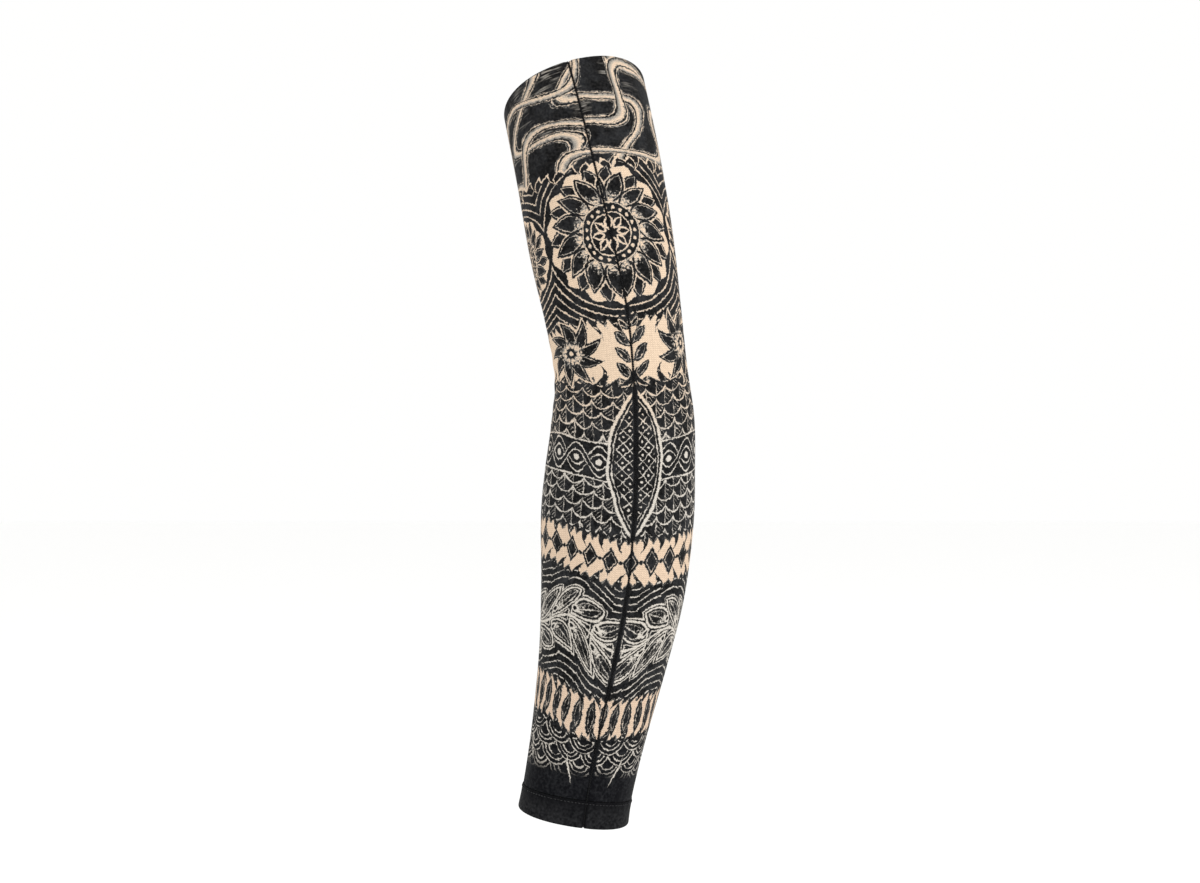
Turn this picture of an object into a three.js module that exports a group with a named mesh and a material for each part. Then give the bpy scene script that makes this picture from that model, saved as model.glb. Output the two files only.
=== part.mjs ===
// An ice silk arm sleeve, shaped as it sits on a slightly bent arm: a printed knit panel wrapped into a
// tube, one long seam that closes it, and a plain double band round the wrist.
// Millimetres, +Z up. The origin is the centre of the upper-arm mouth, where the arm goes in. The seam
// runs down the front, -Y, and the elbow points to +X.
import * as THREE from "three";
import { mergeVertices } from "three/addons/utils/BufferGeometryUtils.js";

// Driving dimensions
const KNIT_WALL = 1.0; // one layer of knit
const BAND_HEIGHT = 13; // the wrist band, measured down the sleeve
const BAND_WALL = 1.8; // the band is folded, so it has two layers
const BAND_PROUD = 0.4; // how far the band stands out from the panel
const SEAM_WIDTH = 2.2;
const SEAM_PROUD = 0.25; // the seam's thread over the panel's outside
const SEAM_ALLOWANCE = 2.2; // the sewn edges, from the panel's outside inwards
const JOIN_GAP = 0.3; // between two pieces that are sewn together
const FULLNESS = 2.15; // 2 makes each section a true ellipse, and more than 2 fills out its corners

// Sections down the arm from the mouth to the wrist. Each is an oval about its centre, with its size across
// and from front to back. In degrees, tilt lifts the oval's +X side, lean lifts its front, and seam is how
// far round from the front to +X the seam crosses it.
const SECTIONS = [
  { name: "mouth", centre: [0, 0, 0], size: [81, 76], tilt: 16.6, lean: 25.5, seam: 2 },
  { name: "biceps", centre: [8, -9.5, -41], size: [80.5, 75], tilt: 10.5, lean: 13, seam: 3.5 },
  { name: "upper arm", centre: [15, -17, -83], size: [79.5, 74], tilt: 9.5, lean: 8.5, seam: 7.8 },
  { name: "above elbow", centre: [21.5, -21.5, -122], size: [74.5, 72], tilt: 7.5, lean: 5.5, seam: 11 },
  { name: "elbow", centre: [25.5, -24, -152], size: [72.5, 72], tilt: 5, lean: 4, seam: 9.8 },
  { name: "below elbow", centre: [26.5, -25.5, -179], size: [78, 73.5], tilt: 2.5, lean: 3, seam: 9.4 },
  { name: "forearm head", centre: [25, -26.5, -205], size: [81.5, 75], tilt: 0, lean: 2, seam: 11.2 },
  { name: "forearm belly", centre: [23.5, -27.5, -232], size: [83, 75], tilt: -3, lean: 2, seam: 11.8 },
  { name: "mid forearm", centre: [21, -29, -270], size: [78, 70], tilt: -6.5, lean: 2, seam: 10.8 },
  { name: "low forearm", centre: [15.5, -30, -308], size: [69.5, 62], tilt: -8.5, lean: 2, seam: 10 },
  { name: "above wrist", centre: [8, -31.5, -347], size: [62, 55], tilt: -9, lean: 1, seam: 9.4 },
  { name: "wrist", centre: [2, -32.5, -378], size: [59, 52], tilt: -8.2, lean: -0.8, seam: 10.5 },
  { name: "hem", centre: [-0.3, -33, -391], size: [59.5, 52], tilt: -9, lean: -4, seam: 11.5 },
];

// How finely the curved walls are faceted
const PANEL_ROWS = 34;
const BAND_ROWS = 3;
const COLUMNS_ROUND = 44;
const SEAM_COLUMNS = 2;

// The arm's centre line, with the ovals' sizes and angles on two curves that run beside it
const throughSections = (pick) => new THREE.CatmullRomCurve3(SECTIONS.map(pick), false, "catmullrom", 0.5);
const centreLine = throughSections((s) => new THREE.Vector3(...s.centre));
const ovalSizes = throughSections((s) => new THREE.Vector3(...s.size, 0));
const ovalAngles = throughSections((s) => new THREE.Vector3(s.tilt, s.lean, s.seam));
centreLine.arcLengthDivisions = 400;
const LENGTH = centreLine.getLength();

// The oval at a distance down the sleeve: its centre, its directions across and to the front, its half
// axes and the seam's angle on it
function ovalAt(distance) {
  const t = centreLine.getUtoTmapping(distance / LENGTH);
  const angles = ovalAngles.getPoint(t);
  const tilt = THREE.MathUtils.degToRad(angles.x);
  const lean = THREE.MathUtils.degToRad(angles.y);
  const across = new THREE.Vector3(Math.cos(tilt), 0, Math.sin(tilt));
  const front = new THREE.Vector3(0, -Math.cos(lean), Math.sin(lean));
  front.addScaledVector(across, -front.dot(across)).normalize();
  const size = ovalSizes.getPoint(t);
  const seamAngle = THREE.MathUtils.degToRad(angles.z);
  const [halfWide, halfDeep] = [size.x / 2, size.y / 2];
  return { centre: centreLine.getPoint(t), across, front, halfWide, halfDeep, seamAngle };
}

// A point on an oval, at an angle from the front towards +X and an offset out from the panel's outside
function pointOn(oval, angle, offset) {
  const [sine, cosine] = [Math.sin(angle), Math.cos(angle)];
  const swell = (Math.abs(sine) ** FULLNESS + Math.abs(cosine) ** FULLNESS) ** (-1 / FULLNESS);
  const across = (oval.halfWide + offset) * swell * sine;
  const front = (oval.halfDeep + offset) * swell * cosine;
  return oval.centre.clone().addScaledVector(oval.across, across).addScaledVector(oval.front, front);
}

// A closed wall that follows the sleeve, with rows down it from one distance to another and columns round
// it. Edges gives the two angles from the seam line that a row starts and ends at, and outside and inside
// are offsets from the panel's outside.
function sleeveWall({ from, to, rows, columns, edges, outside, inside }) {
  const positions = [];
  const faces = [];
  const stride = 2 * (columns + 1);
  for (let row = 0; row <= rows; row++) {
    const oval = ovalAt(from + ((to - from) * row) / rows);
    const [start, end] = edges(oval);
    for (let column = 0; column <= columns; column++) {
      const angle = oval.seamAngle + start + ((end - start) * column) / columns;
      positions.push(...pointOn(oval, angle, outside).toArray());
      positions.push(...pointOn(oval, angle, inside).toArray());
    }
  }
  const outer = (row, column) => row * stride + 2 * column;
  const inner = (row, column) => outer(row, column) + 1;
  const quad = (a, b, c, d) => faces.push(a, b, c, a, c, d);
  for (let row = 0; row < rows; row++) {
    for (let column = 0; column < columns; column++) {
      const [r, c] = [row + 1, column + 1];
      quad(outer(row, column), outer(r, column), outer(r, c), outer(row, c));
      quad(inner(row, column), inner(row, c), inner(r, c), inner(r, column));
    }
    quad(outer(row, 0), inner(row, 0), inner(row + 1, 0), outer(row + 1, 0));
    quad(outer(row, columns), outer(row + 1, columns), inner(row + 1, columns), inner(row, columns));
  }
  for (let column = 0; column < columns; column++) {
    quad(outer(0, column), outer(0, column + 1), inner(0, column + 1), inner(0, column));
    quad(outer(rows, column), inner(rows, column), inner(rows, column + 1), outer(rows, column + 1));
  }
  const geometry = new THREE.BufferGeometry();
  geometry.setAttribute("position", new THREE.Float32BufferAttribute(positions, 3));
  geometry.setIndex(faces);
  return mergeVertices(geometry);
}

// Angle that an arc of the given length takes up at the front of an oval
const arcAngle = (oval, arc) => arc / oval.halfWide;

// A wall that goes round the arm from one edge of the seam to the other
const roundTheArm = (oval) => {
  const slit = arcAngle(oval, SEAM_WIDTH / 2 + JOIN_GAP);
  return [slit, 2 * Math.PI - slit];
};

// The narrow strip between the two edges
const alongTheSeam = (oval) => {
  const half = arcAngle(oval, SEAM_WIDTH / 2);
  return [-half, half];
};

const bandTop = LENGTH - BAND_HEIGHT;

const printedKnit = new THREE.MeshStandardMaterial({ color: 0x4a443e, roughness: 0.75, metalness: 0 });
const blackKnit = new THREE.MeshStandardMaterial({ color: 0x1e1f24, roughness: 0.75, metalness: 0 });
const blackThread = new THREE.MeshStandardMaterial({ color: 0x121214, roughness: 0.6, metalness: 0 });

const sleeve = new THREE.Group();

function addPiece(name, geometry, material) {
  const mesh = new THREE.Mesh(geometry, material);
  mesh.name = name;
  sleeve.add(mesh);
}

// The printed panel, one layer of knit from the mouth to the band, open along the seam
addPiece(
  "sleeve_panel",
  sleeveWall({
    from: 0,
    to: bandTop - JOIN_GAP,
    rows: PANEL_ROWS,
    columns: COLUMNS_ROUND,
    edges: roundTheArm,
    outside: 0,
    inside: -KNIT_WALL,
  }),
  printedKnit,
);

// The wrist band, two layers folded at the lower edge and sewn to the panel
addPiece(
  "wrist_band",
  sleeveWall({
    from: bandTop,
    to: LENGTH,
    rows: BAND_ROWS,
    columns: COLUMNS_ROUND,
    edges: roundTheArm,
    outside: BAND_PROUD,
    inside: BAND_PROUD - BAND_WALL,
  }),
  blackKnit,
);

// The long seam, sewn from the mouth to the wrist through panel and band
addPiece(
  "long_seam",
  sleeveWall({
    from: 0,
    to: LENGTH,
    rows: PANEL_ROWS + BAND_ROWS,
    columns: SEAM_COLUMNS,
    edges: alongTheSeam,
    outside: SEAM_PROUD,
    inside: -SEAM_ALLOWANCE,
  }),
  blackThread,
);

export default sleeve;
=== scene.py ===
# An ice silk arm sleeve as it sits on a slightly bent arm: a printed knit panel closed by one long
# seam, and a plain black band round the wrist. The origin is the middle of the mouth, +Z is up, the
# seam runs down the front, -Y, and the elbow points to +X.
from math import pi, radians

import bpy
import mathutils
import numpy as np
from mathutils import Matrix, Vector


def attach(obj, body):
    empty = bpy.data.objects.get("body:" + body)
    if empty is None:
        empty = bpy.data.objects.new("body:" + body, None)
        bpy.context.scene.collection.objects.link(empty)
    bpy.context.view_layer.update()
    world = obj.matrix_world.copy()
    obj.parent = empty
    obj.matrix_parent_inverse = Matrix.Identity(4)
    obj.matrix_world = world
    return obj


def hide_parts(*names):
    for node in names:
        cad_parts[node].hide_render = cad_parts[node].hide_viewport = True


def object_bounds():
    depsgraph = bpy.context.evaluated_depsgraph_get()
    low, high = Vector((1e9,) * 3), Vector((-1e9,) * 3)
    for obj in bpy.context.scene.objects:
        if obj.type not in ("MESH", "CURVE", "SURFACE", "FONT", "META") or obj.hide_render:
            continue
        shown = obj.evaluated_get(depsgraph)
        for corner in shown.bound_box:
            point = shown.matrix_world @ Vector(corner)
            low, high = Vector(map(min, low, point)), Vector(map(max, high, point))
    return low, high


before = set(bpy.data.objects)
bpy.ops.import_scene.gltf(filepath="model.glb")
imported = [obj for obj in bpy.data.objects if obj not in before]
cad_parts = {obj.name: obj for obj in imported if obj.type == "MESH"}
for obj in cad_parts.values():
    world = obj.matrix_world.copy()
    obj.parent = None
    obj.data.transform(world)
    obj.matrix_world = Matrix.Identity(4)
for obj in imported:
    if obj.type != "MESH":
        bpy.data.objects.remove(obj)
cad_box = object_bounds()


# The printed panel: one layer of fine cooling knit, printed flat in black on ecru, cut to a taper and
# rolled into a tube. It is stretched over the arm, so the arm gives it its shape. It dips and puckers
# at the seam, puckers above the wrist band, and creases a little inside the elbow.
MM = 0.001
KNIT_THICK = 0.8
BAND_HEIGHT = 13.0
SEAM_SLIT = 0.35  # from the seam line to each edge of the cloth
FULLNESS = 2.15  # 2 makes each section of the arm a true ellipse

# Sections of the arm in millimetres and degrees. Each is an oval that tilts up on its +X side and leans
# up at the front, and that the seam crosses at an angle from the front to +X.
ARM_SECTIONS = np.array([
    # centre x, y and z, wide, deep, tilt, lean, seam
    (0, 0, 0, 81, 76, 16.6, 25.5, 2),  # mouth
    (8, -9.5, -41, 80.5, 75, 10.5, 13, 3.5),  # biceps
    (15, -17, -83, 79.5, 74, 9.5, 8.5, 7.8),  # upper arm
    (21.5, -21.5, -122, 74.5, 72, 7.5, 5.5, 11),  # above the elbow
    (25.5, -24, -152, 72.5, 72, 5, 4, 9.8),  # elbow
    (26.5, -25.5, -179, 78, 73.5, 2.5, 3, 9.4),  # below the elbow
    (25, -26.5, -205, 81.5, 75, 0, 2, 11.2),  # forearm head
    (23.5, -27.5, -232, 83, 75, -3, 2, 11.8),  # forearm belly
    (21, -29, -270, 78, 70, -6.5, 2, 10.8),  # middle of the forearm
    (15.5, -30, -308, 69.5, 62, -8.5, 2, 10),  # low forearm
    (8, -31.5, -347, 62, 55, -9, 1, 9.4),  # above the wrist
    (2, -32.5, -378, 59, 52, -8.2, -0.8, 10.5),  # wrist
    (-0.3, -33, -391, 59.5, 52, -9, -4, 11.5),  # hem
])


def arm_at(step):
    """The arm's section at a step that counts the rows of ARM_SECTIONS, on a smooth curve through them."""
    first = 2 * ARM_SECTIONS[0] - ARM_SECTIONS[1]
    last = 2 * ARM_SECTIONS[-1] - ARM_SECTIONS[-2]
    rows = np.vstack([first, ARM_SECTIONS, last])
    whole = np.minimum(step.astype(int), len(ARM_SECTIONS) - 2)
    part = (step - whole)[..., None]
    before, start, end, after = (rows[whole + k] for k in range(4))
    leaving = (end - before) / 2
    coming = (after - start) / 2
    cubic = 2 * start - 2 * end + leaving + coming
    square = 3 * end - 3 * start - 2 * leaving - coming
    return cubic * part**3 + square * part**2 + leaving * part + start


ARM_STEP_COUNT = 401  # places down the arm between which its length is measured
ARM_STEPS = np.linspace(0, len(ARM_SECTIONS) - 1, ARM_STEP_COUNT)
arm_line = arm_at(ARM_STEPS)[:, :3]
ARM_REACH = np.concatenate([[0], np.cumsum(np.linalg.norm(np.diff(arm_line, axis=0), axis=1))])
SLEEVE_LENGTH = ARM_REACH[-1]
BAND_TOP = SLEEVE_LENGTH - BAND_HEIGHT


def on_arm(down, turn, out):
    """Points in millimetres, at a distance down from the mouth, a turn from the seam and an offset out
    from the cloth's outer face."""
    section = arm_at(np.interp(down, ARM_REACH, ARM_STEPS))
    wide, deep, tilt, lean, seam = np.moveaxis(section[..., 3:], -1, 0)
    tilt, lean, seam = np.radians(tilt), np.radians(lean), np.radians(seam)
    level = np.zeros_like(tilt)
    across = np.stack([np.cos(tilt), level, np.sin(tilt)], -1)
    front = np.stack([level, -np.cos(lean), np.sin(lean)], -1)
    front -= across * np.sum(front * across, -1, keepdims=True)
    front /= np.linalg.norm(front, axis=-1, keepdims=True)
    sine = np.sin(turn + seam)
    cosine = np.cos(turn + seam)
    swell = (np.abs(sine) ** FULLNESS + np.abs(cosine) ** FULLNESS) ** (-1 / FULLNESS)
    centre = section[..., :3]
    sideways = ((wide / 2 + out) * swell * sine)[..., None]
    forwards = ((deep / 2 + out) * swell * cosine)[..., None]
    return centre + across * sideways + front * forwards


TURN_COUNT = 361  # places round the arm between which its girth is measured


def girth_at(down):
    """Turns round the arm from the seam and the distance round it at each of them."""
    turns = np.linspace(0, 2 * pi, TURN_COUNT)
    points = on_arm(np.full_like(turns, down), turns, 0.0)
    steps = np.linalg.norm(np.diff(points, axis=0), axis=1)
    return turns, np.concatenate([[0], np.cumsum(steps)])


EDGE_STEPS = np.array([0, 0.05, 0.16, 0.4, 0.8, 1.4, 2.1, 3.0, 4.2, 5.6])  # points crowd at an edge


def close_at_ends(start, end, count, edge):
    """Evenly spaced values from start to end, with the steps in edge added at both ends."""
    middle = np.linspace(start + edge[-1], end - edge[-1], count)
    return np.concatenate([start + edge[:-1], middle, end - edge[-2::-1]])


def rounded(from_edge, thick):
    """Share of the cloth's thickness at a distance from its cut edge, so that the edge is round."""
    inside = np.clip(2 * from_edge / thick, 0, 1)
    return np.sqrt(1 - (1 - inside) ** 2)


def quads(grid):
    """The four corners of every cell of a grid."""
    corners = (grid[:-1, :-1], grid[1:, :-1], grid[1:, 1:], grid[:-1, 1:])
    return np.stack(corners, 2).reshape(-1, 4, *grid.shape[2:])


def in_scene(name, data):
    """An object in the scene, at the origin."""
    thing = bpy.data.objects.new(name, data)
    bpy.context.collection.objects.link(thing)
    return thing


def new_piece(name, points, edges, faces):
    """A mesh object at the origin, made of points in metres."""
    mesh = bpy.data.meshes.new(name)
    mesh.from_pydata(points, edges, faces)
    return in_scene(name, mesh)


OUTER_ROOM = 0.70  # shares of the flat map's height that the two faces of the cloth take
INNER_ROOM = 0.28
PRINT_SLIP = 1.1  # the two halves of the print miss each other by this much at the seam


def cloth_round_arm(name, path, thick, columns, ripple):
    """Cloth wrapped round the arm from one side of the seam to the other, as a closed mesh. Path holds
    the middle of the cloth as (down, out) rows, and ripple gives how far it lies off the arm. Each point
    keeps its distance from the seam, down the sleeve and from the back line in the attribute "cloth", in
    millimetres. The map "OFBake" is the cloth laid flat, its outer face above its inner one."""
    along = np.concatenate([[0], np.cumsum(np.hypot(*np.diff(path, axis=0).T))])
    slope = np.gradient(path, along, axis=0)
    facing = np.stack([-slope[:, 1], slope[:, 0]], -1)
    facing /= np.linalg.norm(facing, axis=1, keepdims=True)
    turn = []
    round_arm = []
    girth = []
    for down, _ in path:
        turns, reach = girth_at(down)
        wanted = close_at_ends(SEAM_SLIT, reach[-1] - SEAM_SLIT, columns, EDGE_STEPS)
        turn.append(np.interp(wanted, reach, turns))
        round_arm.append(wanted)
        girth.append(np.full_like(wanted, reach[-1]))
    turn, round_arm, girth = (np.array(values) for values in (turn, round_arm, girth))
    right = round_arm < girth / 2
    away = np.where(right, round_arm, girth - round_arm)
    side = np.where(right, 1.0, -1.0)
    from_end = np.minimum(along, along[-1] - along)[:, None]
    half = thick / 2 * rounded(from_end, thick) * rounded(away - SEAM_SLIT, thick)
    down = np.broadcast_to(path[:, :1], away.shape)
    out = path[:, 1:] + ripple(down, away, side)
    outer = on_arm(down + facing[:, :1] * half, turn, out + facing[:, 1:] * half)
    inner = on_arm(down - facing[:, :1] * half, turn, out - facing[:, 1:] * half)

    # The two faces share the points of the cloth's edge.
    rows, count = away.shape
    outer_at = np.arange(rows * count).reshape(rows, count)
    inner_at = outer_at.copy()
    within = np.arange((rows - 2) * (count - 2)).reshape(rows - 2, count - 2)
    inner_at[1:-1, 1:-1] = rows * count + within
    points = np.vstack([outer.reshape(-1, 3), inner[1:-1, 1:-1].reshape(-1, 3)]) * MM
    faces = np.vstack([quads(outer_at), quads(inner_at)[:, ::-1]])
    piece = new_piece(name, points.tolist(), [], faces.tolist())
    mesh = piece.data
    mesh.shade_smooth()
    inside = np.zeros(len(faces), dtype=np.int32)
    inside[len(faces) // 2:] = 1
    mesh.polygons.foreach_set("material_index", inside)

    misprint = PRINT_SLIP * (side > 0) * (girth / 2 - away) / (girth / 2)
    place = np.stack([away, down + misprint, girth / 2 - away], -1)
    place = np.vstack([place.reshape(-1, 3), place[1:-1, 1:-1].reshape(-1, 3)])
    mesh.attributes.new("cloth", "FLOAT_VECTOR", "POINT").data.foreach_set("vector", place.ravel())

    lengthways = np.broadcast_to((along / along[-1])[:, None], away.shape)
    outer_flat = np.stack([lengthways, OUTER_ROOM * round_arm / girth], -1)
    inner_flat = np.stack([lengthways, 1 - INNER_ROOM * round_arm / girth], -1)
    flat = np.vstack([quads(outer_flat), quads(inner_flat)[:, ::-1]])
    mesh.uv_layers.new(name="OFBake").data.foreach_set("uv", flat.ravel())
    return piece


# Ripples of the panel: how high they are, how long each wave is and how far from the seam, the band or
# the elbow they reach
SEAM_DIP = 0.55
SEAM_DIP_WIDE = 1.5
SEAM_LIP = 0.2
SEAM_LIP_AWAY = 3.4
SEAM_LIP_WIDE = 1.9
PUCKER = 0.09
SEAM_WAVE_LONG = 1.1
SEAM_WAVE_APART = 1.9  # the waves on the two sides are out of step by twice this
SEAM_WAVE_DRIFT = 0.9
SEAM_DRIFT_LONG = 9.0
SEAM_PUCKER_WIDE = 6.0
HEM_WAVE_LONG = 0.95
HEM_WAVE_APART = 2.1
HEM_PUCKER_HIGH = 5.0
ELBOW_DOWN = 156.0
ELBOW_HOLLOW = 60.0  # from the seam round to the inside of the elbow
ELBOW_CREASE = 0.22
CREASE_LONG = 1.9
CREASE_SLOPE = 0.12
CREASES_HIGH = 24.0
CREASES_WIDE = 20.0


def mound(distance, width):
    """A smooth mound, 1 high in its middle, that falls off over a width."""
    return np.exp(-((distance / width) ** 2))


def hem_waves(away, side):
    return np.sin(away / HEM_WAVE_LONG + HEM_WAVE_APART * side)


def panel_ripple(down, away, side):
    dip = -SEAM_DIP * mound(away, SEAM_DIP_WIDE)
    lip = SEAM_LIP * mound(away - SEAM_LIP_AWAY, SEAM_LIP_WIDE)
    drift = SEAM_WAVE_DRIFT * np.sin(down / SEAM_DRIFT_LONG)
    seam_waves = np.sin(down / SEAM_WAVE_LONG + SEAM_WAVE_APART * side + drift)
    seam_pucker = PUCKER * mound(away, SEAM_PUCKER_WIDE) * seam_waves
    hem_pucker = PUCKER * mound(BAND_TOP - down, HEM_PUCKER_HIGH) * hem_waves(away, side)
    at_elbow = mound(down - ELBOW_DOWN, CREASES_HIGH) * mound(away - ELBOW_HOLLOW, CREASES_WIDE)
    creases = np.cos((down - ELBOW_DOWN + CREASE_SLOPE * away) / CREASE_LONG)
    crease = ELBOW_CREASE * at_elbow * (side < 0) * creases
    return dip + lip + seam_pucker + hem_pucker + crease


PANEL_ROWS = 165
PANEL_COLUMNS = 141  # an odd number puts one column on the back line, where the print meets
PANEL_TO_BAND = 0.15  # from the panel's lower edge to the band's upper one
panel_downs = close_at_ends(0.0, BAND_TOP - PANEL_TO_BAND, PANEL_ROWS, EDGE_STEPS)
panel_path = np.stack([panel_downs, np.full_like(panel_downs, -KNIT_THICK / 2)], -1)
panel = cloth_round_arm("sleeve_panel_cloth", panel_path, KNIT_THICK, PANEL_COLUMNS, panel_ripple)


def new_group(name, takes, gives):
    """A shader node group with named inputs and outputs, given as name and socket kind."""
    tree = bpy.data.node_groups.new(name, "ShaderNodeTree")
    for title, kind in takes.items():
        tree.interface.new_socket(title, in_out="INPUT", socket_type=f"NodeSocket{kind}")
    for title, kind in gives.items():
        tree.interface.new_socket(title, in_out="OUTPUT", socket_type=f"NodeSocket{kind}")
    return tree, tree.nodes.new("NodeGroupInput"), tree.nodes.new("NodeGroupOutput")


class Drawn:
    """A value that changes over the cloth. Arithmetic with it adds Math nodes to the tree that it is
    drawn in."""

    def __init__(self, tree, socket):
        self.tree = tree
        self.socket = socket

    def __add__(self, other):
        return maths("ADD", self, other)

    def __radd__(self, other):
        return maths("ADD", other, self)

    def __sub__(self, other):
        return maths("SUBTRACT", self, other)

    def __rsub__(self, other):
        return maths("SUBTRACT", other, self)

    def __mul__(self, other):
        return maths("MULTIPLY", self, other)


def fill(tree, socket, value):
    """Feeds a node's input from a drawn value or another node's output, or sets it to a number or colour."""
    if isinstance(value, Drawn):
        value = value.socket
    if isinstance(value, bpy.types.NodeSocket):
        tree.links.new(value, socket)
    else:
        socket.default_value = value


def put(tree, kind, settings=None, **inputs):
    """Adds a node, sets its options and fills its inputs."""
    node = tree.nodes.new(kind)
    for option, value in (settings or {}).items():
        setattr(node, option, value)
    for title, value in inputs.items():
        fill(tree, node.inputs[title.replace("_", " ")], value)
    return node


def maths(operation, *values, clamp=False):
    tree = next(value.tree for value in values if isinstance(value, Drawn))
    node = put(tree, "ShaderNodeMath", {"operation": operation, "use_clamp": clamp})
    for socket, value in zip(node.inputs, values):
        fill(tree, socket, value)
    return Drawn(tree, node.outputs[0])


def split(tree, vector):
    """The three numbers of a vector, each as a drawn value."""
    parts = put(tree, "ShaderNodeSeparateXYZ", Vector=vector)
    return [Drawn(tree, socket) for socket in parts.outputs]


# Fine knit: columns of small V-shaped loops that run down the sleeve, raised where the yarn crosses
WALE_PITCH = 1.4  # across one column of loops
COURSE_PITCH = 1.1  # down one row of loops
LOOP_SLANT = 0.6  # rows that a loop rises by across half a column
GROOVE_DEEP = 0.7  # between two columns
GROOVE_SHARP = 4.0
fine_knit, knit_in, knit_out = new_group(
    "fine_knit", {"Cloth": "Vector", "Place": "Vector"}, {"Height": "Float", "Heather": "Float"})
away, down, _ = split(fine_knit, knit_in.outputs["Cloth"])
from_wale = maths("PINGPONG", away * (1 / WALE_PITCH), 0.5) * 2
slant = maths("MULTIPLY_ADD", from_wale, LOOP_SLANT, down * (1 / COURSE_PITCH))
loops = maths("MULTIPLY_ADD", maths("SINE", slant * (2 * pi)), 0.5, 0.5)
wale_groove = 1.0 - maths("POWER", from_wale, GROOVE_SHARP) * GROOVE_DEEP
fill(fine_knit, knit_out.inputs["Height"], loops * wale_groove)
heather = put(fine_knit, "ShaderNodeTexNoise", Vector=knit_in.outputs["Place"], Scale=700.0, Detail=2.0)
fill(fine_knit, knit_out.inputs["Heather"], heather.outputs["Fac"])

# Worn dye: black that has washed out in soft patches, each broken up by the yarn
worn_dye, dye_in, dye_out = new_group("worn_dye", {"Place": "Vector"}, {"Wear": "Float"})
patches = put(worn_dye, "ShaderNodeTexNoise", Vector=dye_in.outputs["Place"],
              Scale=95.0, Detail=6.0, Roughness=0.66)
worn_patches = put(worn_dye, "ShaderNodeMapRange", Value=patches.outputs["Fac"],
                   From_Min=0.40, From_Max=0.72)
fill(worn_dye, dye_out.inputs["Wear"], worn_patches.outputs["Result"])

# The print, a drawn ornament. Below the ribbons at its top it is mirrored at the seam. A shape is given
# as how far a place on the cloth lies inside its edge, in millimetres, so that adding to a shape grows
# it and taking away from it shrinks it.
INK_EDGE = 0.35  # width over which ink fades into the bare cloth at an edge
HAND_WANDER = 4.5  # how far the drawn lines wander
PEN_CHANGE = 1.5  # how much a line's width changes
ROUGH_EDGE = 1.9  # how much the knit's loops roughen the edges of the ink
BACK_STILL = 6.0  # towards the back, where the print meets, the lines wander less over this last stretch
GRAIN_BREAK = 2.4  # how strongly the cloth's grain breaks up a dry stroke
STROKE_HARD = 2.5
STROKE_FULL = 0.6  # how full a dry stroke starts
WASH_SPECKLE = 0.9  # how strongly the grain shows in thin ink
ROW_SAG = 10.0  # below the rosettes, rows hang lower at the seam than at the sides by this much
SAG_FROM = 122.0
SAG_GROWS = 50.0  # length over which the sag reaches its full depth
STREAK_SCALE = (0.07, 0.9, 0.07)  # brush streaks are long across the sleeve and thin down it


def centred(value, size):
    """A value from 0 to 1, spread over a size about zero."""
    return maths("MULTIPLY_ADD", value, size, -size / 2)


def reached(value, start, length):
    """0 up to a start, and from there up to 1 over a length."""
    return maths("MULTIPLY_ADD", value, 1 / length, -start / length, clamp=True)


print_art, art_in, art_out = new_group(
    "printed_ornament", {"Cloth": "Vector", "Place": "Vector"},
    {"Ink": "Float", "Dark Field": "Float", "Deep Black": "Float"})
wander = put(print_art, "ShaderNodeTexNoise", Vector=art_in.outputs["Place"], Scale=45.0, Detail=1.0)
wander_across, wander_down, _ = split(print_art, wander.outputs["Color"])
pressure = put(print_art, "ShaderNodeTexNoise", Vector=art_in.outputs["Place"],
               Scale=210.0, Detail=4.0, Roughness=0.8)
pen = centred(Drawn(print_art, pressure.outputs["Fac"]), PEN_CHANGE)
rough_yarn = put(print_art, "ShaderNodeTexNoise", Vector=art_in.outputs["Place"], Scale=800.0, Detail=3.0)
grain = centred(Drawn(print_art, rough_yarn.outputs["Fac"]), GRAIN_BREAK)
rough_across, rough_down, _ = split(print_art, rough_yarn.outputs["Color"])
away, down, behind = split(print_art, art_in.outputs["Cloth"])
streak_place = put(print_art, "ShaderNodeMapping", Vector=art_in.outputs["Cloth"], Scale=STREAK_SCALE)
streak_noise = put(print_art, "ShaderNodeTexNoise", Vector=streak_place.outputs["Vector"],
                   Scale=1.0, Detail=4.0)
streaks = reached(Drawn(print_art, streak_noise.outputs["Fac"]), start=0.5, length=0.25)
streaks = streaks * reached(wander_down, start=0.52, length=0.2)
wander_across = centred(wander_across, HAND_WANDER) + centred(rough_across, ROUGH_EDGE)
share_round = maths("DIVIDE", away, away + behind)
across = away + wander_across
behind = behind + wander_across * maths("MULTIPLY", behind, 1 / BACK_STILL, clamp=True)
along = down + centred(wander_down, HAND_WANDER) + centred(rough_down, ROUGH_EDGE)
lifted = maths("MULTIPLY_ADD", maths("COSINE", share_round * (2 * pi)), -ROW_SAG / 2, ROW_SAG / 2)
along = along + reached(down, SAG_FROM, SAG_GROWS) * lifted


def everywhere(value):
    """The same value all over the cloth."""
    return maths("MULTIPLY_ADD", along, 0.0, value)


def far(sideways, lengthways):
    return maths("SQRT", maths("MULTIPLY_ADD", sideways, sideways, lengthways * lengthways))


def both(*shapes):
    common = shapes[0]
    for shape in shapes[1:]:
        common = maths("MINIMUM", common, shape)
    return common


def either(*shapes):
    joined = shapes[0]
    for shape in shapes[1:]:
        joined = maths("MAXIMUM", joined, shape)
    return joined


def outside(shape, margin=0.0):
    return maths("MULTIPLY_ADD", shape, -1.0, -margin)


def line(distance, at, width):
    """A pen line of about the given width, drawn where distance equals at."""
    return pen - maths("ABSOLUTE", distance - at) + width / 2


def repeated(value, pitch, shift=0.0):
    """The distance from the middle of the nearest repeat, with its sign."""
    return maths("WRAP", value - shift, pitch / 2, -pitch / 2)


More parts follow.
